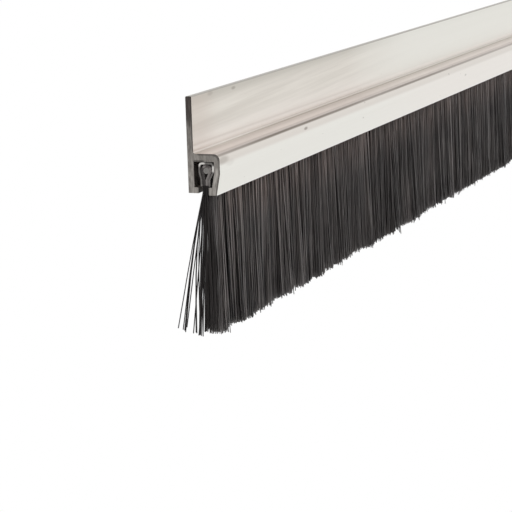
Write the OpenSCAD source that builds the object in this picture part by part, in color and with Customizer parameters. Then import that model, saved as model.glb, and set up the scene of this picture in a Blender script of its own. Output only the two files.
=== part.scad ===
// Brush door sweep: an aluminium h-section carrier that holds a strip brush.
// X runs along the door's width, +Y faces the door and +Z is up.
// The origin is the centre of the carrier's flat back face, the face that lies on the door.
// Sections are drawn as [depth in front of the door, height above the flange's lower edge].

/* [Carrier] */
// Length of the carrier, the width of the door it is cut for
length = 914; // [400:1:1200]
// Height of the fixing flange from its lower edge to its top
carrier_h = 25; // [22:0.5:40]
// Thickness of the flange
flange_t = 1.65; // [1.2:0.05:2.5]
// Thickness of the wall above the groove
top_wall_t = 2.05; // [1.2:0.05:3]
// Thickness of the wall in front of the groove
front_wall_t = 1.6; // [1.2:0.05:2.5]
// Thickness of the lip under the groove at the back
lip_t = 1.5; // [1:0.05:2.2]
// How far the back lip stands out from the flange
back_lip_l = 1.1; // [0.6:0.05:1.4]
// How far the front leg hangs below the flange
front_leg_drop = 0.5; // [0:0.05:1]
// Height above the flange's lower edge where the front leg's crimp starts
crimp_h = 5.2; // [4:0.1:6]
// Angle by which the front leg is crimped inwards below that
crimp_angle = 11; // [5:0.5:14]
// Outside radius where the channel's top turns down into its front
corner_r = 1.6; // [0.8:0.1:2]
// Radius on the flange's top edges
edge_r = 0.3; // [0.1:0.05:0.5]
// Fillet between the flange and the channel's top
root_r = 0.5; // [0.2:0.1:1]

/* [Strip brush] */
// Thickness of the folded backing sheet
sheet_t = 0.5; // [0.4:0.05:0.7]
// Diameter of the core wire that the filaments are folded over
wire_d = 1.6; // [1.2:0.1:2]
// Thickness of the filaments where both legs of the fold lie together
bundle_t = 1.7; // [1.4:0.05:2.1]
// Height of the folded backing
backing_h = 6.2; // [5.6:0.1:7.5]
// Height of the straight legs below the backing's round top
pinch_h = 1.65; // [1.2:0.05:2]
// How far the legs stand behind the middle of the round top
leg_shift = 0.35; // [0:0.05:0.5]
// How far the bristles reach below the flange's lower edge
brush_drop = 38; // [20:1:60]
// Thickness of the bristles at their tips
tip_t = 4.4; // [2:0.1:6]
// Gap by which each end of the brush lies back from the carrier's end
end_inset = 0.5; // [0.2:0.1:3]

/* [Clearances] */
// Gap between the brush's backing and the groove
groove_gap = 0.25; // [0.2:0.05:0.4]
// Room in the groove behind the backing
back_room = 1.1; // [0.6:0.05:1.6]
// Gap round the filaments inside the backing
pack_gap = 0.05; // [0.03:0.01:0.1]
// Gap between the filaments and the front lip
lip_gap = 0.3; // [0.2:0.05:0.4]
// Gap between the fixed filament roots and the flexing bristles, and between their sections
flex_gap = 0.3; // [0.25:0.05:0.5]

/* [Hidden] */
$fn = 48;
sections = 6;
bristle_nodes = [for (i = [1:sections]) str("bristles_", i)];

// The backing's round top, and the groove that it runs in
backing_w = wire_d + bundle_t + 2 * sheet_t;
groove_back = flange_t;
backing_back = groove_back + back_room;
backing_front = backing_back + backing_w;
groove_front = backing_front + groove_gap;
channel_d = groove_front + front_wall_t;
backing_bottom = lip_t + groove_gap;
backing_top = backing_bottom + backing_h;
groove_top = backing_top + groove_gap;
channel_h = groove_top + top_wall_t;
backing_corner_r = 2 * sheet_t;

// The crimped front leg and its lip
lean = tan(crimp_angle);
leg_foot = -front_leg_drop;
bundle_mid = backing_back + backing_w / 2 - leg_shift;
front_lip_tip = bundle_mid + bundle_t / 2 - pack_gap + lip_gap;

// The core wire lies in the filaments' fold
wire_mid = [backing_back + backing_w / 2, backing_top - sheet_t - (bundle_t + wire_d) / 2];
pinch_top = wire_mid[1] - wire_d / 4;
pinch_bottom = backing_bottom + pinch_h;

// The bristles turn about a line along the middle of the bundle, just below the carrier
ridge_r = bundle_t / 2 - pack_gap;
flex_z = leg_foot - flex_gap - ridge_r;
brush_l = length - 2 * end_inset;
section_l = (brush_l - (sections - 1) * flex_gap) / sections;

// A section drawn as [depth, height], drawn out along X to a length
module along_door(l) {
    rotate([90, 0, 90])
        linear_extrude(height = l, center = true)
            mirror([1, 0])
                translate([0, -carrier_h / 2])
                    children();
}

// What is cut off a square corner to leave it rounded, at the centre of its round
module corner_cut(r) {
    difference() {
        square(r + 1);
        circle(r = r);
    }
}

// Flange with its two top edges eased, and the back lip at its foot
module flange_section() {
    difference() {
        square([flange_t, carrier_h]);
        translate([flange_t - edge_r, carrier_h - edge_r]) corner_cut(edge_r);
        translate([edge_r, carrier_h - edge_r]) mirror([1, 0]) corner_cut(edge_r);
    }
    square([flange_t + back_lip_l, lip_t]);
}

// Fillet that blends the flange into the channel's top
module root_fillet() {
    translate([flange_t + root_r, channel_h + root_r])
        rotate(180)
            intersection() {
                square(root_r + flange_t / 2);
                corner_cut(root_r);
            }
}

// Hook that closes the groove: its top, and its front leg crimped inwards to the lip
module hook_section() {
    foot_shift = lean * (crimp_h - leg_foot);
    lip_shift = lean * (crimp_h - lip_t);
    difference() {
        polygon([
            [flange_t / 2, groove_top],
            [groove_front, groove_top],
            [groove_front, crimp_h],
            [groove_front - lip_shift, lip_t],
            [front_lip_tip, lip_t],
            [front_lip_tip, leg_foot],
            [channel_d - foot_shift, leg_foot],
            [channel_d, crimp_h],
            [channel_d, channel_h],
            [flange_t / 2, channel_h]
        ]);
        translate([channel_d - corner_r, channel_h - corner_r]) corner_cut(corner_r);
    }
}

module carrier() {
    color([0.80, 0.78, 0.75])
        along_door(length) {
            flange_section();
            root_fillet();
            hook_section();
        }
}

// Outline of the folded backing, drawn in by a distance on every side but the mouth
module backing_outline(inset, bottom) {
    back = backing_back + inset;
    front = backing_front - inset;
    leg = bundle_t / 2 + sheet_t - inset;
    top = backing_top - inset;
    r = backing_corner_r - inset;
    polygon([
        [back, pinch_top],
        [bundle_mid - leg, pinch_bottom],
        [bundle_mid - leg, bottom],
        [bundle_mid + leg, bottom],
        [bundle_mid + leg, pinch_bottom],
        [front, pinch_top]
    ]);
    translate([back, pinch_top]) square([front - back, top - r - pinch_top]);
    translate([back + r, pinch_top]) square([front - back - 2 * r, top - pinch_top]);
    for (d = [back + r, front - r])
        translate([d, top - r]) circle(r = r);
}

module backing_channel() {
    color([0.62, 0.63, 0.63])
        along_door(brush_l)
            difference() {
                backing_outline(0, backing_bottom);
                backing_outline(sheet_t, backing_bottom - 1);
            }
}

module core_wire() {
    color([0.55, 0.55, 0.54])
        along_door(brush_l)
            translate(wire_mid) circle(d = wire_d);
}

// The filaments folded over the wire, down to where they leave the carrier
module filament_roots() {
    color([0.12, 0.12, 0.12])
        along_door(brush_l)
            difference() {
                backing_outline(sheet_t + pack_gap, leg_foot);
                translate(wire_mid) circle(r = wire_d / 2 + pack_gap);
            }
}

// One section of the bristles that hang below the carrier, counted from the -X end
module bristle_section(i) {
    x_mid = (i - (sections + 1) / 2) * (section_l + flex_gap);
    color([0.10, 0.10, 0.10])
        translate([x_mid, 0, 0])
            along_door(section_l) {
                translate([bundle_mid, flex_z]) circle(r = ridge_r);
                polygon([
                    [bundle_mid - ridge_r, flex_z],
                    [bundle_mid - tip_t / 2, -brush_drop],
                    [bundle_mid + tip_t / 2, -brush_drop],
                    [bundle_mid + ridge_r, flex_z]
                ]);
            }
}

carrier();
backing_channel();
core_wire();
filament_roots();
for (i = [1:sections])
    bristle_section(i);
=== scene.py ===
"""A brush door sweep: a mill-finish aluminium carrier that grips a strip brush of black nylon."""

import math

import bpy
import numpy as np
from mathutils import Matrix, Vector


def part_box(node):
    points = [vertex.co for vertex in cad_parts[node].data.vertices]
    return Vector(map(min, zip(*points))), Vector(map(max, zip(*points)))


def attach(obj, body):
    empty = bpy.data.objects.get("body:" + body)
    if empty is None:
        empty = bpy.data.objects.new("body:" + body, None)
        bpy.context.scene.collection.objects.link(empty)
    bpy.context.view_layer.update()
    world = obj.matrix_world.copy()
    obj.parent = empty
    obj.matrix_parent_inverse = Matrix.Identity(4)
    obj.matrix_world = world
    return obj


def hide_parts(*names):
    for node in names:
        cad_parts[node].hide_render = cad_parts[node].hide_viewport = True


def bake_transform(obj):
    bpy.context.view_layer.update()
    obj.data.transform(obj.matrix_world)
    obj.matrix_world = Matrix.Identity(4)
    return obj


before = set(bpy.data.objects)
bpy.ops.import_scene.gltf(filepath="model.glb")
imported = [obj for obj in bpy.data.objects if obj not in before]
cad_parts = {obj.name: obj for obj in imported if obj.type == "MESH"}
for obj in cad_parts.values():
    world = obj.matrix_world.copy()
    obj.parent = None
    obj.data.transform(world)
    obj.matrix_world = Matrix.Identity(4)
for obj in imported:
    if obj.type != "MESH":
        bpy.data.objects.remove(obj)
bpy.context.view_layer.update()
bpy.ops.object.select_all(action="DESELECT")


# ---------------------------------------------------------------------------------------------
# Camera. It looks along the sweep from beyond its sawn -X end, from the front and a little above,
# so that the end section is near and the length runs out of the frame on the right.
# ---------------------------------------------------------------------------------------------

carrier_low, carrier_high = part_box("carrier")
flange_height = 0.025
flange_foot = carrier_high.z - flange_height
near_end = carrier_low.x

camera_yaw = math.radians(21.9)
camera_fall = math.radians(11.2)
camera_roll = math.radians(-1.84)
camera_from_end = Vector((-0.4657, -0.2053, 0.0836))

forward = Vector(
    (
        math.cos(camera_yaw) * math.cos(camera_fall),
        math.sin(camera_yaw) * math.cos(camera_fall),
        -math.sin(camera_fall),
    )
)
level_right = forward.cross(Vector((0, 0, 1))).normalized()
level_up = level_right.cross(forward)
camera_right = level_right * math.cos(camera_roll) + level_up * math.sin(camera_roll)
camera_up = level_up * math.cos(camera_roll) - level_right * math.sin(camera_roll)

bpy.ops.object.camera_add()
camera = bpy.context.object
camera.name = "camera"
camera.data.sensor_width = 36
camera.data.lens = 140.625
camera.data.clip_start = 0.05
camera.data.clip_end = 20
camera_place = Vector((near_end, carrier_high.y, flange_foot)) + camera_from_end
turned = Matrix((camera_right, camera_up, -forward)).transposed()
camera.matrix_world = Matrix.Translation(camera_place) @ turned.to_4x4()
bpy.context.scene.camera = camera


# ---------------------------------------------------------------------------------------------
# Studio. A plain floor well below the sweep and a surround, both seen as pure white, and soft
# lamps: one broad lamp in front of the sweep, one above it and a weaker one behind it.
# ---------------------------------------------------------------------------------------------


class Value:
    """A shader value, with the operators that this file uses on it."""

    def __init__(self, finish, socket):
        self.finish = finish
        self.socket = socket

    def maths(self, operation, *values, clamp=False):
        """A Math node in this value's tree, fed by exactly the values that are given."""
        settings = {"operation": operation, "use_clamp": clamp}
        return self.finish.node("ShaderNodeMath", settings, dict(enumerate(values)))

    def __add__(self, other):
        return self.maths("ADD", self, other)

    def __sub__(self, other):
        return self.maths("SUBTRACT", self, other)

    def __rsub__(self, other):
        return self.maths("SUBTRACT", other, self)

    def __mul__(self, other):
        return self.maths("MULTIPLY", self, other)

    def __gt__(self, other):
        return self.maths("GREATER_THAN", self, other)

    def clamped(self):
        return self.maths("ADD", self, 0.0, clamp=True)

    def size(self):
        return self.maths("ABSOLUTE", self)

    def squared(self):
        return self.maths("POWER", self, 2.0)

    def rise(self, low, high):
        """0 below low and 1 above high, with a soft step between them."""
        settings = {"interpolation_type": "SMOOTHSTEP"}
        return self.finish.node("ShaderNodeMapRange", settings, {0: self, 1: low, 2: high})

    def band(self, low, high, soft):
        """1 between low and high, and 0 outside them, with soft borders."""
        inside = self.rise(low - soft, low + soft)
        return inside * (1 - self.rise(high - soft, high + soft))

    __radd__ = __add__
    __rmul__ = __mul__


class Finish:
    """A node tree of a material or of the world. node() makes any node and wires its inputs."""

    def __init__(self, owner):
        owner.use_nodes = True
        self.tree = owner.node_tree
        self.shader = self.tree.nodes.get("Principled BSDF")

    def node(self, kind, settings=None, values=None, output=0):
        made = self.tree.nodes.new(kind)
        for name, setting in (settings or {}).items():
            setattr(made, name, setting)
        for name, value in (values or {}).items():
            self.feed(made.inputs[name], value)
        return Value(self, made.outputs[output])

    def feed(self, socket, value):
        if isinstance(value, Value):
            self.tree.links.new(value.socket, socket)
        else:
            socket.default_value = value

    def set(self, **values):
        """Sets or wires the shader's own sockets, each by its name in small letters."""
        for name, value in values.items():
            self.feed(self.shader.inputs[name.replace("_", " ").title()], value)

    def place(self, kind="Object"):
        """The point on the piece, and its three coordinates, in metres."""
        point = self.node("ShaderNodeTexCoord", output=kind)
        split = self.node("ShaderNodeSeparateXYZ", values={"Vector": point})
        outputs = split.socket.node.outputs
        return point, Value(self, outputs[0]), Value(self, outputs[1]), Value(self, outputs[2])

    def stretched(self, point, x, y, z):
        return self.node("ShaderNodeMapping", values={"Vector": point, "Scale": (x, y, z)})

    def noise(self, point, grain, detail=2.0, roughness=0.5):
        """Soft random marks from 0 to 1. The grain is how many there are to the metre each way."""
        point = self.stretched(point, *grain)
        values = {"Vector": point, "Scale": 1.0, "Detail": detail, "Roughness": roughness}
        return self.node("ShaderNodeTexNoise", values=values)

    def mix(self, factor, first, second):
        settings = {"data_type": "RGBA"}
        values = {0: factor, 6: first, 7: second}
        return self.node("ShaderNodeMix", settings, values, output=2)

    def spot(self, point, centre, reach, along=1.0):
        """1 at a centre and 0 beyond its reach. A small value for along draws it out lengthwise."""
        away = self.node("ShaderNodeVectorMath", {"operation": "SUBTRACT"}, {0: point, 1: centre})
        away = self.stretched(away, along, 1, 1)
        away = self.node("ShaderNodeVectorMath", {"operation": "LENGTH"}, {0: away}, "Value")
        return 1 - away.rise(reach * 0.3, reach)

    def bump(self, height, strength, distance):
        values = {"Height": height, "Strength": strength, "Distance": distance}
        return self.node("ShaderNodeBump", values=values)


def new_finish(name):
    material = bpy.data.materials.new(name)
    return material, Finish(material)


floor_size = 30
floor_z = -0.42
floor_skin = (0.90, 0.90, 0.895, 1)
floor_white = 0.92
white = (1, 1, 1, 1)
world_fill = 0.62
zenith_loss = 0.40

bpy.ops.mesh.primitive_plane_add(size=floor_size, location=(0, 0, floor_z))
floor = bpy.context.object
floor.name = "floor"
floor_material, floor_finish = new_finish("pale_floor")
floor_finish.set(base_color=floor_skin, roughness=0.9)
seen = floor_finish.node("ShaderNodeLightPath", output="Is Camera Ray")
mirrored = floor_finish.node("ShaderNodeLightPath", output="Is Glossy Ray")
whitened = (seen + mirrored * floor_white).clamped()
glow = floor_finish.node("ShaderNodeEmission", values={"Color": white, "Strength": 1.0})
lit = Value(floor_finish, floor_finish.shader.outputs[0])
shown = floor_finish.node("ShaderNodeMixShader", values={0: whitened, 1: lit, 2: glow})
floor_finish.feed(floor_finish.tree.nodes["Material Output"].inputs["Surface"], shown)
floor.data.materials.append(floor_material)

world = bpy.data.worlds.new("studio")
bpy.context.scene.world = world
sky = Finish(world)
sky_seen = sky.node("ShaderNodeLightPath", output="Is Camera Ray")
sky_mirrored = sky.node("ShaderNodeLightPath", output="Is Glossy Ray")
up = sky.place("Generated")[-1]
ceiling = 1 - up.rise(0.25, 0.85) * zenith_loss
unseen_sky = sky_mirrored * ceiling + (1 - sky_mirrored) * world_fill
background = sky.tree.nodes["Background"]
background.inputs["Color"].default_value = white
sky.feed(background.inputs["Strength"], sky_seen + (1 - sky_seen) * unseen_sky)

lamps_face = Vector((-0.2, 0, 0))


def soft_lamp(name, place, size, watts, mirrored):
    """A square area lamp that faces the sweep's near half, and says whether metal mirrors it."""
    bpy.ops.object.light_add(type="AREA", location=place)
    lamp = bpy.context.object
    lamp.name = name
    lamp.data.size = size
    lamp.data.energy = watts
    lamp.visible_glossy = mirrored
    aim = lamps_face - Vector(place)
    lamp.rotation_euler = aim.to_track_quat("-Z", "Y").to_euler()


soft_lamp("front_lamp", place=(0.1, -2.2, 0.9), size=2.6, watts=15, mirrored=False)
soft_lamp("top_lamp", place=(-0.2, -0.2, 2.2), size=2.2, watts=12, mirrored=True)
soft_lamp("back_lamp", place=(0.2, 2.2, 0.8), size=2.2, watts=9, mirrored=False)

bpy.context.scene.view_settings.view_transform = "Standard"


# ---------------------------------------------------------------------------------------------
# Carrier. One aluminium extrusion in its mill finish: warm pale grey, with soft streaks and fine
# die lines along its length, a dark line of painted shade where the top rolls into the front, and
# sawn ends.
# ---------------------------------------------------------------------------------------------

# The section's lines, as depths in front of the door and heights above the flange's foot.
flange_depth = 0.00165
channel_depth = 0.0089
channel_top = 0.01025
crimp_rise = 0.0052
crimp_slope = math.tan(math.radians(11))
corner_out = 0.0073
corner_rise = 0.00865
far_end = carrier_high.x
cut_skin = 0.00004

# Marks to the metre: along the length, in depth and in height.
streak_grain = (15, 60, 640)
die_grain = (5, 1500, 1500)
blush_grain = (16, 70, 70)
handling_grain = (3.3, 1, 1)
speck_grain = (240, 600, 600)
saw_grain = (1, 2600, 420)
# How much the streaks climb along the length, as if wiped at a slight slant.
wipe_slope = 0.034

warm_light = (0.800, 0.758, 0.694, 1)
warm_dark = (0.600, 0.555, 0.496, 1)
pale_skin = (0.837, 0.827, 0.772, 1)
blush_skin = (0.740, 0.670, 0.620, 1)
low_light_skin = (0.925, 0.872, 0.826, 1)
upper_skin = (0.490, 0.462, 0.405, 1)
die_mark_skin = (0.600, 0.540, 0.490, 1)
by_cut_skin = (0.560, 0.450, 0.390, 1)
highlight_skin = (0.980, 0.940, 0.895, 1)
front_skin = (0.872, 0.858, 0.812, 1)
front_rosy = (0.872, 0.832, 0.786, 1)
corner_skin = (0.765, 0.722, 0.670, 1)
lip_highlight_skin = (0.900, 0.890, 0.860, 1)
top_light = (0.935, 0.852, 0.816, 1)
top_dark = (0.790, 0.716, 0.682, 1)
top_shade_skin = (0.600, 0.532, 0.492, 1)
root_shade_skin = (0.440, 0.380, 0.328, 1)
dark_mark_and_shade = (0.185, 0.148, 0.112, 1)
edge_skin = (0.450, 0.425, 0.385, 1)
sawn_light = (0.400, 0.378, 0.350, 1)
sawn_dark = (0.165, 0.152, 0.140, 1)
flange_sawn_light = (0.110, 0.094, 0.087, 1)
flange_sawn_dark = (0.044, 0.037, 0.034, 1)
burnished_skin = (0.640, 0.610, 0.570, 1)
burr_and_shade_skin = (0.052, 0.046, 0.042, 1)

mill_aluminium, mill = new_finish("mill_aluminium")
point, along, depth, height = mill.place()
rise = height - flange_foot
out = 0 - depth


def from_end(along, start, full):
    """0 up to start and 1 from full onwards, both measured along from the sweep's near end."""
    return along.rise(near_end + start, near_end + full)


def tinted(side, where, strength, colour):
    """A side of the carrier, taken towards a colour by a strength where a mask is 1."""
    return mill.mix(where * strength, side, colour)


wiped = mill.node(
    "ShaderNodeCombineXYZ", values={0: along, 1: depth, 2: height - along * wipe_slope}
)
streaks = mill.noise(wiped, streak_grain, 4.0, 0.55)
die_lines = mill.noise(point, die_grain, 2.0, 0.6)
blush = mill.noise(point, blush_grain)
handled = 1 - from_end(along, 0.09, 0.20)
handled = (handled + mill.noise(point, handling_grain, 1.0).rise(0.5, 0.62)).clamped()

# The flange's front. Its streaks show most where it has been handled, as near the first end.
flange_tone = (streaks - 0.5) * (handled * 0.9 + 0.9) + (die_lines - 0.5) * 0.35 + 0.66
flange_side = mill.mix(flange_tone.clamped(), warm_dark, warm_light)
flange_side = tinted(flange_side, (blush - 0.5).clamped(), 0.6, blush_skin)
# Painted light: the flange is painted lighter low down, just above the channel.
painted_low_light = 1 - rise.rise(0.0130, 0.0175)
flange_side = tinted(flange_side, painted_low_light, 0.55, low_light_skin)
upper = rise.rise(0.0213, 0.0250)
flange_side = tinted(flange_side, upper, 0.75, upper_skin)
die_mark = rise.band(0.0120, 0.0126, 0.0004) * handled
flange_side = tinted(flange_side, die_mark, 0.40, die_mark_skin)
flange_side = mill.mix(handled * 0.80 + 0.10, pale_skin, flange_side)
by_the_cut = 1 - from_end(along, 0.003, 0.020)
flange_side = tinted(flange_side, by_the_cut, 0.30, by_cut_skin)
# A painted highlight: a light line along the flange a little above the channel.
painted_highlight_line = rise.band(0.0112, 0.0121, 0.0004)
flange_side = tinted(flange_side, painted_highlight_line, 0.50, highlight_skin)

# The channel's front, from the rolled corner down to the lip's underside.
front_tone = (die_lines - 0.5) * 0.25 + (streaks - 0.5) * 0.3 + 0.5
front_side = mill.mix(front_tone, front_skin, pale_skin)
front_side = tinted(front_side, from_end(along, 0.10, 0.22), 0.85, front_rosy)
corner_roll = rise.rise(0.0069, 0.0080)
front_side = mill.mix(corner_roll, front_side, corner_skin)
# A painted highlight along the lip's lower edge.
painted_lip_highlight = 1 - rise.rise(-0.0003, -0.0001)
front_side = mill.mix(painted_lip_highlight, front_side, lip_highlight_skin)

# The channel's level top, with painted shade towards the flange and where it turns down.
around = out.maths("ARCTAN2", out - corner_out, rise - corner_rise)
on_channel = out.rise(0.0024, 0.0030)
level_top = on_channel * rise.rise(0.0092, 0.0094) * (1 - around.rise(0.82, 0.96))
top_tone = (streaks - 0.5) * 2.4 + (die_lines - 0.5) * 0.5 + 0.6
top_side = mill.mix(top_tone, top_dark, top_light)
painted_top_shade = out.rise(0.0062, 0.0076) * 0.70 + (1 - out.rise(0.0019, 0.0066)) * 0.80
top_side = mill.mix(painted_top_shade, top_side, top_shade_skin)

# Painted shade: a dark line in the flange's root, and a dark line along the rolled corner.
skin = mill.mix(on_channel, flange_side, front_side)
skin = mill.mix(level_top, skin, top_side)
painted_root_shade = out.band(0.0015, 0.0025, 0.0005) * rise.band(0.0098, 0.0107, 0.0005)
painted_root_shade = painted_root_shade * (from_end(along, 0.010, 0.070) * 0.50 + 0.35)
skin = mill.mix(painted_root_shade, skin, root_shade_skin)
painted_crease_shade = around.band(0.55, 1.02, 0.16) * rise.rise(0.0087, 0.0089)
painted_crease_shade = painted_crease_shade * (streaks * 0.8 + 0.44).clamped()
painted_crease_shade = painted_crease_shade * (from_end(along, 0.002, 0.035) * 0.35 + 0.65)
painted_crease_shade = painted_crease_shade * (1 - from_end(along, 0.14, 0.30) * 0.38)
skin = mill.mix(painted_crease_shade, skin, dark_mark_and_shade)
top_edge = rise.rise(0.02462, 0.02485)
skin = mill.mix(top_edge, skin, edge_skin)

# Small dull marks: how far each lies from the near end, out from the door and above the flange's
# foot, how far it reaches, and how strong it is.
dull_marks = (
    (0.0125, flange_depth, 0.0243, 0.0008, 0.22),
    (0.0285, flange_depth, 0.0239, 0.0006, 0.42),
    (0.0026, channel_depth, 0.0084, 0.0015, 0.34),
    (0.0070, channel_depth, 0.0072, 0.0012, 0.10),
    (0.0640, channel_depth, 0.0083, 0.0006, 0.65),
    (0.2310, channel_depth, 0.0052, 0.0005, 0.35),
)
mark_stretch = 0.3
for mark_along, mark_out, mark_up, reach, strength in dull_marks:
    centre = (near_end + mark_along, -mark_out, flange_foot + mark_up)
    skin = tinted(skin, mill.spot(point, centre, reach, mark_stretch), strength, dark_mark_and_shade)
specks = mill.noise(point, speck_grain, 1.0)
skin = tinted(skin, specks.rise(0.775, 0.81), 0.35, dark_mark_and_shade)

# The sawn ends, dark partly from the saw and partly as painted shade on faces turned from the lamps:
# saw lines, darker up the flange, burnished inside the front wall, and a dark outline that is partly
# burr and partly painted shade along the edges and over the cavity.
sawn = along.size() > (far_end - cut_skin)
saw_lines = mill.noise(point, saw_grain, 3.0, 0.6)
up_flange = rise.rise(0.004, 0.012) * 0.25 + rise.rise(0.0145, 0.0212) * 0.75
cut_light = mill.mix(up_flange, sawn_light, flange_sawn_light)
cut_dark = mill.mix(up_flange, sawn_dark, flange_sawn_dark)
cut = mill.mix(((saw_lines - 0.5) * 2.6 + 0.5).clamped(), cut_dark, cut_light)
below_crimp = crimp_rise - rise
crimped_in = below_crimp.maths("MAXIMUM", below_crimp, 0.0) * crimp_slope
to_front = channel_depth - crimped_in - out
burnished = to_front.band(0.0007, 0.0012, 0.0003) * rise.band(0.0026, 0.0064, 0.0007)
cut = tinted(cut, burnished, 0.55, burnished_skin)

from_corner = (out - corner_out).squared() + (rise - corner_rise).squared()
from_corner = from_corner.maths("SQRT", from_corner)
outer_corner = from_corner.rise(0.0008, 0.0012) * out.rise(0.0070, 0.0074)
outer_corner = outer_corner * rise.rise(0.0084, 0.0088)
burr_and_shade = (1 - to_front.rise(0.0002, 0.0005)) * out.rise(0.0060, 0.0064) + outer_corner
burr_and_shade = burr_and_shade + rise.band(channel_top - 0.0004, channel_top, 0.0001) * on_channel * 0.9
burr_and_shade = burr_and_shade + rise.band(0.0081, 0.0086, 0.0001) * out.band(0.0017, 0.0045, 0.0003)
burr_and_shade = burr_and_shade + (1 - out.rise(0.0001, 0.0003)) * up_flange
flange_front = out.band(flange_depth - 0.0003, flange_depth + 0.0002, 0.0001)
burr_and_shade = burr_and_shade + flange_front * rise.rise(0.0105, 0.0112)
cut = tinted(cut, burr_and_shade.clamped(), 0.65, burr_and_shade_skin)

relief = (die_lines * 0.6 + streaks * 0.8) * (1 - sawn) + saw_lines * sawn * 2.0
mill.set(
    base_color=mill.mix(sawn, skin, cut),
    metallic=1.0,
    roughness=(die_lines * 0.16 + 0.30) * (1 - sawn) + sawn * 0.55,
    normal=mill.bump(relief, strength=0.14, distance=0.0002),
)


def give_finish(node, material):
    """Puts a finish on a piece that keeps the shape it came with."""
    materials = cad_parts[node].data.materials
    materials.clear()
    materials.append(material)


give_finish("carrier", mill_aluminium)


# ---------------------------------------------------------------------------------------------
# Backing channel. Galvanised strip, rolled into a channel and closed on the filaments with a
# pinch under the core wire. Its cut ends are painted dark as shade inside the carrier, with painted
# glints.
# ---------------------------------------------------------------------------------------------

backing_low, backing_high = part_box("backing_channel")

spangles_per_metre = 700.0
rolled_grain = (200, 1800, 1800)
glint_grain = (1, 1300, 1300)
zinc_dark = (0.300, 0.310, 0.315, 1)
zinc_light = (0.600, 0.610, 0.610, 1)
cut_shade_colour = (0.045, 0.040, 0.038, 1)
glint_colour = (0.620, 0.600, 0.570, 1)
# Where the two glints lie on a cut end, in depth and height, and how far each reaches.
glints = ((-0.0036, -0.0049, 0.0013), (-0.0067, -0.0062, 0.0011))

galvanised, zinc = new_finish("galvanised_strip")
point, along, *_ = zinc.place()
spangle = zinc.node(
    "ShaderNodeTexVoronoi",
    {"feature": "F1"},
    {"Vector": point, "Scale": spangles_per_metre},
    output="Color",
)
grain = zinc.noise(point, rolled_grain)
tone = zinc.node("ShaderNodeSeparateColor", values={"Color": spangle})
zinc_skin = zinc.mix(tone * 0.5 + grain * 0.4, zinc_dark, zinc_light)
# Painted light on the cut ends: painted shade from inside the carrier, and two painted glints.
cut_face = along.size() > (backing_high.x - cut_skin)
glint = zinc.noise(point, glint_grain) * 0.35
for glint_y, glint_z, reach in glints:
    for side in (-1, 1):
        glint = glint + zinc.spot(point, (side * backing_high.x, glint_y, glint_z), reach)
cut_end = zinc.mix(glint.clamped(), cut_shade_colour, glint_colour)
zinc.set(
    base_color=zinc.mix(cut_face, zinc_skin, cut_end),
    metallic=1.0,
    roughness=grain * 0.2 + 0.28,
    normal=zinc.bump(grain, strength=0.2, distance=0.0001),
)
give_finish("backing_channel", galvanised)


# ---------------------------------------------------------------------------------------------
# Core wire. One length of drawn steel wire, laid in the fold of the filaments so that the closed
# strip can't let them slip out. It keeps its draw marks, and its ends are cropped.
# ---------------------------------------------------------------------------------------------

wire_low, wire_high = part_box("core_wire")
wire_middle = (wire_low + wire_high) / 2
wire_radius = (wire_high.z - wire_low.z) / 2

draw_grain = (20, 3500, 3500)
wire_dark = (0.28, 0.27, 0.26, 1)
wire_light = (0.54, 0.53, 0.51, 1)
cropped_dark = (0.100, 0.095, 0.090, 1)
cropped_light = (0.300, 0.290, 0.275, 1)

drawn_steel, wire_skin = new_finish("drawn_wire")
point, along, *_ = wire_skin.place()
draw_marks = wire_skin.noise(point, draw_grain)
cropped = along.size() > (wire_high.x - cut_skin)
wire_side = wire_skin.mix(draw_marks, wire_dark, wire_light)
wire_end = wire_skin.mix(draw_marks, cropped_dark, cropped_light)
wire_skin.set(
    base_color=wire_skin.mix(cropped, wire_side, wire_end),
    metallic=1.0,
    roughness=draw_marks * 0.2 + 0.3,
    normal=wire_skin.bump(draw_marks, strength=0.15, distance=0.0001),
)
give_finish("core_wire", drawn_steel)


# ---------------------------------------------------------------------------------------------
# Folded filaments. Black nylon filaments, folded over the core wire and crimped in the backing.
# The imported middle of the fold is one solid, and at both ends each filament's loop is seen.
# ---------------------------------------------------------------------------------------------

roots_low, roots_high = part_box("filament_roots")
filament_radius = 0.00014
filament_sides = 5
fold_steps = 6
fold_layers = 3
loops_reach = 0.003
loop_pitch = 0.00026
loop_jitter = 0.00005
bundle_middle = -0.00455
pinch_bottom = -0.0091
crimp_end = -0.0104
shaded_z = -0.0107
packed_tone = 0.25

fading_grain = (140, 140, 60)
nylon_dark = (0.009, 0.007, 0.007, 1)
nylon_light = (0.232, 0.213, 0.208, 1)
brown_dark = (0.011, 0.007, 0.007, 1)
brown_light = (0.320, 0.262, 0.243, 1)
nylon_glint_skin = (0.520, 0.500, 0.470, 1)

# Just under the carrier the filaments are lighter and browner, but not at the near end itself,
# which is left darker as painted shade under the lip.
black_nylon, nylon = new_finish("black_nylon")
point, along, _, height = nylon.place()
lot = nylon.node("ShaderNodeAttribute", {"attribute_name": "tone"}, output="Fac")
fading = nylon.noise(point, fading_grain)
under_carrier = height.rise(-0.0270, -0.0150) * (1 - height.rise(-0.0131, -0.0125))
under_carrier = under_carrier * from_end(along, 0.003, 0.016)
under_light = under_carrier * (from_end(along, 0.08, 0.25) * 0.05 + 0.09)
shade = (lot * ((fading - 0.5) * 1.6 + 0.9) + 0.01 + under_light).clamped()
nylon_black = nylon.mix(shade, nylon_dark, nylon_light)
nylon_brown = nylon.mix(shade, brown_dark, brown_light)
browned = under_carrier * 0.9 + (fading - 0.45) * 0.8
nylon_skin = nylon.mix(browned, nylon_black, nylon_brown)
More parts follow.
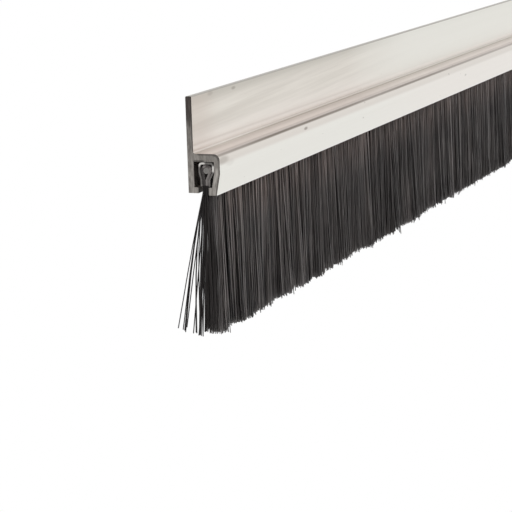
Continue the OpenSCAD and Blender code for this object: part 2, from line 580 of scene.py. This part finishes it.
# Tones over 1 take the loops towards a painted glint.
nylon_glint = (lot - 1) * 0.8
nylon.set(
    base_color=nylon.mix(nylon_glint, nylon_skin, nylon_glint_skin),
    roughness=fading * 0.25 + 0.28,
)
nylon.shader.inputs["Specular IOR Level"].default_value = 0.24


def keep_tone(mesh, tones):
    """Stores how light or dark each point of a filament mesh is: 0 to 1, and over 1 where a glint is
    painted.
    """
    mesh.attributes.new("tone", "FLOAT", "POINT").data.foreach_set("value", tones)


def new_piece(name, mesh):
    piece = bpy.data.objects.new(name, mesh)
    bpy.context.collection.objects.link(piece)
    return piece


def packed_fold():
    """The middle of the fold: the crimped solid, cut short of both ends."""
    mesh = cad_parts["filament_roots"].data.copy()
    solid = new_piece("folded_filaments", mesh)
    bpy.ops.object.select_all(action="DESELECT")
    bpy.context.view_layer.objects.active = solid
    solid.select_set(True)
    bpy.ops.object.mode_set(mode="EDIT")
    bpy.ops.mesh.select_all(action="SELECT")
    bpy.ops.mesh.remove_doubles(threshold=1e-6)
    for side, plane in ((-1, roots_low.x + loops_reach), (1, roots_high.x - loops_reach)):
        bpy.ops.mesh.select_all(action="SELECT")
        bpy.ops.mesh.bisect(
            plane_co=(plane, 0, 0), plane_no=(side, 0, 0), use_fill=True, clear_outer=True
        )
    bpy.ops.mesh.select_all(action="SELECT")
    bpy.ops.mesh.normals_make_consistent(inside=False)
    bpy.ops.object.mode_set(mode="OBJECT")
    mesh.materials.clear()
    mesh.materials.append(black_nylon)
    keep_tone(mesh, np.full(len(mesh.vertices), packed_tone))
    return solid


def select_cap(mesh, side):
    """Selects the one face that closes a loop's leg on the given side of the wire."""
    bpy.ops.mesh.select_mode(type="FACE")
    bpy.ops.mesh.select_all(action="DESELECT")
    bpy.ops.object.mode_set(mode="OBJECT")
    for face in mesh.polygons:
        level = abs(face.normal.z) > 0.99 and (face.center.y - wire_middle.y) * side > 0
        face.select = level and len(face.vertices) == filament_sides
    bpy.ops.object.mode_set(mode="EDIT")


def folded_loop(layer):
    """One filament folded over the wire in a given layer, with its two legs down to the mouth."""
    reach = wire_radius + filament_radius + layer * loop_pitch
    spread = filament_radius + layer * loop_pitch
    bpy.ops.object.select_all(action="DESELECT")
    bpy.ops.mesh.primitive_circle_add(
        vertices=filament_sides,
        radius=filament_radius,
        fill_type="NGON",
        location=(0, wire_middle.y - reach, wire_middle.z),
    )
    loop = bpy.context.object
    bpy.ops.object.transform_apply(location=True)
    bpy.ops.object.mode_set(mode="EDIT")
    bpy.ops.mesh.spin(
        steps=fold_steps, angle=math.pi, center=(0, wire_middle.y, wire_middle.z), axis=(1, 0, 0)
    )
    for side in (-1, 1):
        select_cap(loop.data, side)
        at = wire_middle.y + side * reach
        slide = (0, (bundle_middle + side * spread) - at, pinch_bottom - wire_middle.z)
        bpy.ops.mesh.extrude_region_move(TRANSFORM_OT_translate={"value": slide})
        for drop in (crimp_end - pinch_bottom, shaded_z - crimp_end, roots_low.z - shaded_z):
            bpy.ops.mesh.extrude_region_move(TRANSFORM_OT_translate={"value": (0, 0, drop)})
    bpy.ops.mesh.select_all(action="SELECT")
    bpy.ops.mesh.normals_make_consistent(inside=False)
    bpy.ops.object.mode_set(mode="OBJECT")
    bpy.ops.object.shade_smooth()
    return loop


def painted_loop_light(spot):
    """How light a loop is: a painted glint on its top and front, painted shade at its back and below
    the crimp.
    """
    if spot.z < crimp_end - 0.0001:
        return 0.0
    if spot.z > wire_high.z:
        return 1.5 if spot.y > bundle_middle else 0.4
    return 1.1 if spot.y < bundle_middle else 0.3


fold = packed_fold()
dice = np.random.default_rng(7)
loops = []
for layer in range(fold_layers):
    pattern = folded_loop(layer)
    for side in (-1, 1):
        end = roots_low.x if side < 0 else roots_high.x
        for step in range(int(loops_reach / loop_pitch) + 1):
            mesh = pattern.data.copy()
            jitter = dice.uniform(0, loop_jitter)
            inwards = filament_radius + step * loop_pitch + jitter
            mesh.transform(Matrix.Translation((end - side * inwards, 0, 0)))
            shine = dice.uniform(0.6, 1.3)
            keep_tone(mesh, [shine * painted_loop_light(v.co) for v in mesh.vertices])
            mesh.materials.append(black_nylon)
            loops.append(new_piece("loop", mesh))
    bpy.data.objects.remove(pattern)
bpy.ops.object.select_all(action="DESELECT")
for loop in loops:
    loop.select_set(True)
fold.select_set(True)
bpy.context.view_layer.objects.active = fold
bpy.ops.object.join()
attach(fold, "brush_strip")
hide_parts("filament_roots")


# ---------------------------------------------------------------------------------------------
# Bristles. The same black nylon filaments below the crimp, in six lengths.
# They leave the mouth in one thin row, gather in wisps, spread a little and are trimmed level.
# ---------------------------------------------------------------------------------------------

filaments_per_metre = 25000
ring_cuts = 4
mouth_z = carrier_low.z
root_z = backing_low.z - 0.0006
bundle_half = 0.00078
section_gap = 0.0003
# The random tables' length and where they start along X, and the cells each way on the map.
draws = 4096
tables_start = -1.0
cells = 64

# How the filaments lie, in metres: the wisps' widths, how far they stray each way, how far a tip
# may pass its section's border or a cut end, and how the tips are trimmed.
wisp_width = 0.0013
strand_width = 0.0005
lean_spread = 0.00085
fall_spread = 0.00050
bow_spread = 0.00035
most_bow = 0.00035
cut_lean = 0.0011
past_border = 0.0004
past_cut = 0.0015
trim_spread = 0.00042
usual_trim = 0.0004
cut_trim = 0.0016
short_share = 0.06
short_by = (0.001, 0.004)
longest = -0.0008
shortest = 0.006

# How light the filaments are, from 0 to 1: most of them, the few bright ones, and the painted shade at
# the cut ends.
usual_tone = 0.40
bright_share = 0.09
bright_by = (0.3, 0.9)
end_shade = 0.88


def filament_pattern(cuts):
    """One filament of unit length and radius, three-sided, with rings between its two cut ends."""
    bpy.ops.object.select_all(action="DESELECT")
    bpy.ops.mesh.primitive_cylinder_add(vertices=3, radius=1, depth=1, location=(0, 0, -0.5))
    pattern = bpy.context.object
    bpy.ops.object.transform_apply(location=True)
    mesh = pattern.data
    bpy.ops.object.mode_set(mode="EDIT")
    bpy.ops.mesh.select_mode(type="EDGE")
    bpy.ops.mesh.select_all(action="DESELECT")
    bpy.ops.object.mode_set(mode="OBJECT")
    for edge in mesh.edges:
        top, bottom = [mesh.vertices[v].co.z for v in edge.vertices]
        edge.select = abs(top - bottom) > 0.5
    bpy.ops.object.mode_set(mode="EDIT")
    bpy.ops.mesh.subdivide(number_cuts=cuts)
    bpy.ops.object.mode_set(mode="OBJECT")
    corners = np.array([v.co for v in mesh.vertices])
    faces = [tuple(p.vertices) for p in mesh.polygons]
    bpy.data.objects.remove(pattern)
    return corners, faces


pattern_corners, pattern_faces = filament_pattern(ring_cuts)


def unrolled_pattern():
    """Where each face corner of the pattern lies on a map: round the filament, and down it."""
    spots = []
    for face in pattern_faces:
        turns = [math.atan2(pattern_corners[v][1], pattern_corners[v][0]) / math.tau % 1 for v in face]
        if max(turns) - min(turns) > 0.5:
            turns = [turn + 1 if turn < 0.4 else turn for turn in turns]
        spots += [(turn / 1.4, -pattern_corners[v][2]) for turn, v in zip(turns, face, strict=True)]
    return np.array(spots)


pattern_map = unrolled_pattern()


def lay_filaments(name, roots, tips, bow, radius, tones):
    """One mesh of filaments. Each runs from its root to its tip, and bow moves its middle sideways."""
    count = len(roots)
    down = -pattern_corners[:, 2]
    lines = roots[:, None] + (tips - roots)[:, None] * down[None, :, None]
    lines[..., :2] += (tips - roots)[:, None, :2] * (down**1.25 - down)[None, :, None]
    lines[..., :2] += bow[:, None] * np.sin(np.pi * down**0.8)[None, :, None]
    lines[..., :2] += pattern_corners[None, :, :2] * radius[:, None, None]
    step = len(pattern_corners)
    faces = [tuple(v + k * step for v in face) for k in range(count) for face in pattern_faces]
    mesh = bpy.data.meshes.new(name)
    mesh.from_pydata(lines.reshape(-1, 3).tolist(), [], faces)
    mesh.polygons.foreach_set("use_smooth", np.ones(len(mesh.polygons), bool))
    mesh.materials.append(black_nylon)
    keep_tone(mesh, np.repeat(tones, step))
    cell = np.stack([np.arange(count) % cells, np.arange(count) // cells], 1)
    spots = (cell[:, None] + 0.25 + pattern_map[None] * 0.5) / cells
    mesh.uv_layers.new(name="OFBake").data.foreach_set("uv", spots.reshape(-1))
    return new_piece(name, mesh)


def drift(places, wavelength, seed):
    """A smooth random wave along the sweep, mostly between -1 and 1."""
    knots = np.random.default_rng(seed).normal(0, 0.6, draws)
    at = (places - tables_start) / wavelength
    low = np.floor(at).astype(int)
    part = at - low
    part = part * part * (3 - 2 * part)
    return knots[low % draws] * (1 - part) + knots[(low + 1) % draws] * part


def wisps(places, width, seed):
    """Gathers the filaments in wisps of about this width: each one's wisp, and its middle."""
    dice = np.random.default_rng(seed)
    borders = np.cumsum(dice.uniform(0.4, 1.6, draws) * width) + tables_start
    wisp = np.searchsorted(borders, places)
    return wisp, (borders[wisp] + borders[wisp - 1]) / 2


def near_cut(end_gap, reach):
    """1 at either end of the brush, falling to nothing a few reaches from it."""
    return np.exp(-((end_gap / reach) ** 2))


# Strands that have sprung out at an end: how far from the end they start, where in the bundle's
# depth, how far their tips lean outwards and towards the door, how long they hang, and their bow.
sprung_strands = (
    (0.0002, 0.80, 0.0043, 0.0051, 0.0352, 0.0010),
    (0.0004, 0.70, 0.0046, 0.0049, 0.0356, 0.0011),
    (0.0003, 0.85, 0.0052, 0.0065, 0.0345, 0.0008),
    (0.0003, 0.90, 0.0045, 0.0054, 0.0350, 0.0009),
    (0.0008, 0.80, 0.0034, 0.0051, 0.0347, 0.0006),
    (0.0005, 0.60, 0.0028, 0.0036, 0.0363, 0.0003),
    (0.0010, 0.75, 0.0022, 0.0030, 0.0365, 0.0014),
    (0.0008, 0.85, 0.0025, 0.0029, 0.0362, 0.0013),
    (0.0002, 0.50, 0.0024, 0.0022, 0.0368, -0.0003),
    (0.0012, 0.85, 0.0015, 0.0026, 0.0369, 0.0006),
    (0.0003, 0.95, 0.0028, 0.0014, 0.0366, 0.0004),
    (0.0006, 0.65, 0.0012, 0.0016, 0.0370, 0.0002),
    (0.0002, 1.00, 0.0020, 0.0008, 0.0371, 0.0006),
    (0.0001, 0.90, 0.0014, 0.0018, 0.0368, 0.0010),
    (0.0003, 0.85, 0.0017, 0.0016, 0.0371, 0.0004),
    (0.0005, 0.80, 0.0013, 0.0020, 0.0360, 0.0001),
)
sprung_radius = filament_radius * 1.2
sprung_tone = 0.04

sections = sorted(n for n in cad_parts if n.startswith("bristles_"))
last = len(sections) - 1
for number, node in enumerate(sections):
    low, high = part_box(node)
    middle_y = (low.y + high.y) / 2
    tip_half = (high.y - low.y) / 2
    near = low.x - section_gap / 2 if number else low.x + filament_radius
    far = high.x + section_gap / 2 if number < last else high.x - filament_radius
    dice = np.random.default_rng(100 + number)
    count = int((far - near) * filaments_per_metre)
    places = (np.arange(count) + dice.uniform(0.1, 0.9, count)) / count
    x = near + (far - near) * places
    across = dice.uniform(-1, 1, count)
    end_gap = np.minimum(x - carrier_low.x, carrier_high.x - x)

    # Wisps lean, fall and bow together. Four filaments in nine hang straight near the row's middle.
    wisp, wisp_x = wisps(x, wisp_width, 11)
    strand, strand_x = wisps(x, strand_width, 13)
    wisp_dice = np.random.default_rng(12)
    wisp_lean = wisp_dice.normal(0, lean_spread, draws)[wisp]
    wisp_fall = wisp_dice.normal(0, fall_spread, draws)[wisp]
    wisp_bow = wisp_dice.normal(0, bow_spread, draws)[wisp]
    wisp_tone = wisp_dice.normal(0, 0.09, draws)[wisp] + wisp_dice.normal(0, 0.30, draws)[strand]
    loose = np.where(np.arange(count) * 4 % 9 < 4, 0.0, 1.0)
    across = np.where(loose > 0, across, across * 0.5)

    # How far each tip leans along the sweep. It leans less at a joint, and outwards at a cut end.
    lean = (wisp_x - x) * dice.uniform(0.1, 0.5, count) + wisp_lean
    lean += (strand_x - x) * 0.4 + dice.normal(0, 0.00050, count)
    lean = lean * loose + drift(x, 0.0045, 1) * 0.0007 + dice.normal(0, 0.00006, count)
    from_joint = np.minimum(x - near, far - x)
    lean *= 1 - 0.8 * np.exp(-from_joint / 0.0025)
    lean *= 0.6 + 0.5 * near_cut(end_gap, 0.10)
    lean += np.sign(x) * np.exp(-end_gap / 0.004) * cut_lean

    # Where the tips stand in depth, and how far each is trimmed short of the full drop.
    tip_y = middle_y + across * tip_half * 0.72 + wisp_fall * loose
    tip_y += drift(x, 0.006, 3) * 0.0004 + dice.normal(0, 0.0003, count)
    trim = drift(x, 0.003, 4) * 0.0005 + dice.normal(0, trim_spread, count) + usual_trim
    short = dice.random(count) < short_share
    trim = np.where(short, trim + dice.uniform(*short_by, count), trim)
    trim += np.exp(-end_gap / 0.005) * cut_trim

    # No filament reaches far past its own section.
    inner_low = near - (past_border if number else past_cut)
    inner_high = far + (past_border if number < last else past_cut)
    tip_x = np.clip(x + lean, inner_low, inner_high)
    roots = np.stack([x, middle_y + across * bundle_half, np.full(count, root_z)], 1)
    tips = np.stack([tip_x, tip_y, low.z + trim.clip(longest, shortest)], 1)
    bow = dice.normal(0, 0.00020, (count, 2)).clip(-most_bow, most_bow)
    bow = bow * (0.3 + 0.7 * loose)[:, None]
    bow[:, 0] += wisp_bow * loose
    middle_x = (x + tip_x) / 2
    bow[:, 0] = np.clip(middle_x + bow[:, 0], inner_low, inner_high) - middle_x
    radius = filament_radius * dice.uniform(0.85, 1.12, count)

    # Tones vary most near the cut ends, a few filaments are much lighter, and the ends are painted
    # dark as shade.
    contrast = 0.30 + 1.30 * near_cut(end_gap, 0.070)
    tones = wisp_tone + dice.normal(0, 0.14, count)
    bright = dice.random(count) < bright_share
    tones = np.where(bright, tones + dice.uniform(*bright_by, count), tones)
    tones = usual_tone + tones * contrast + drift(x, 0.009, 5) * 0.12 + drift(x, 0.0035, 6) * 0.06
    tones += 0.26 * near_cut(end_gap, 0.024) - 0.04 * near_cut(end_gap, 0.12)
    tones = tones.clip(0, 1) * (1 - end_shade * near_cut(end_gap, 0.0050))

    if number in (0, last):
        side = -1 if number == 0 else 1
        end = near if number == 0 else far
        share = sprung_strands if number == 0 else sprung_strands[1::2]
        for start, part, outwards, inwards, drop, curve in share:
            root = (end - side * (start + filament_radius), middle_y + part * bundle_half, root_z)
            tip = (root[0] + side * outwards, root[1] + inwards, mouth_z - drop)
            roots = np.vstack([roots, root])
            tips = np.vstack([tips, tip])
            bow = np.vstack([bow, (side * curve * 0.4, curve)])
            radius = np.append(radius, sprung_radius)
            tones = np.append(tones, sprung_tone)

    piece = lay_filaments(f"{node}_filaments", roots, tips, bow, radius, tones)
    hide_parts(node)
    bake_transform(piece)
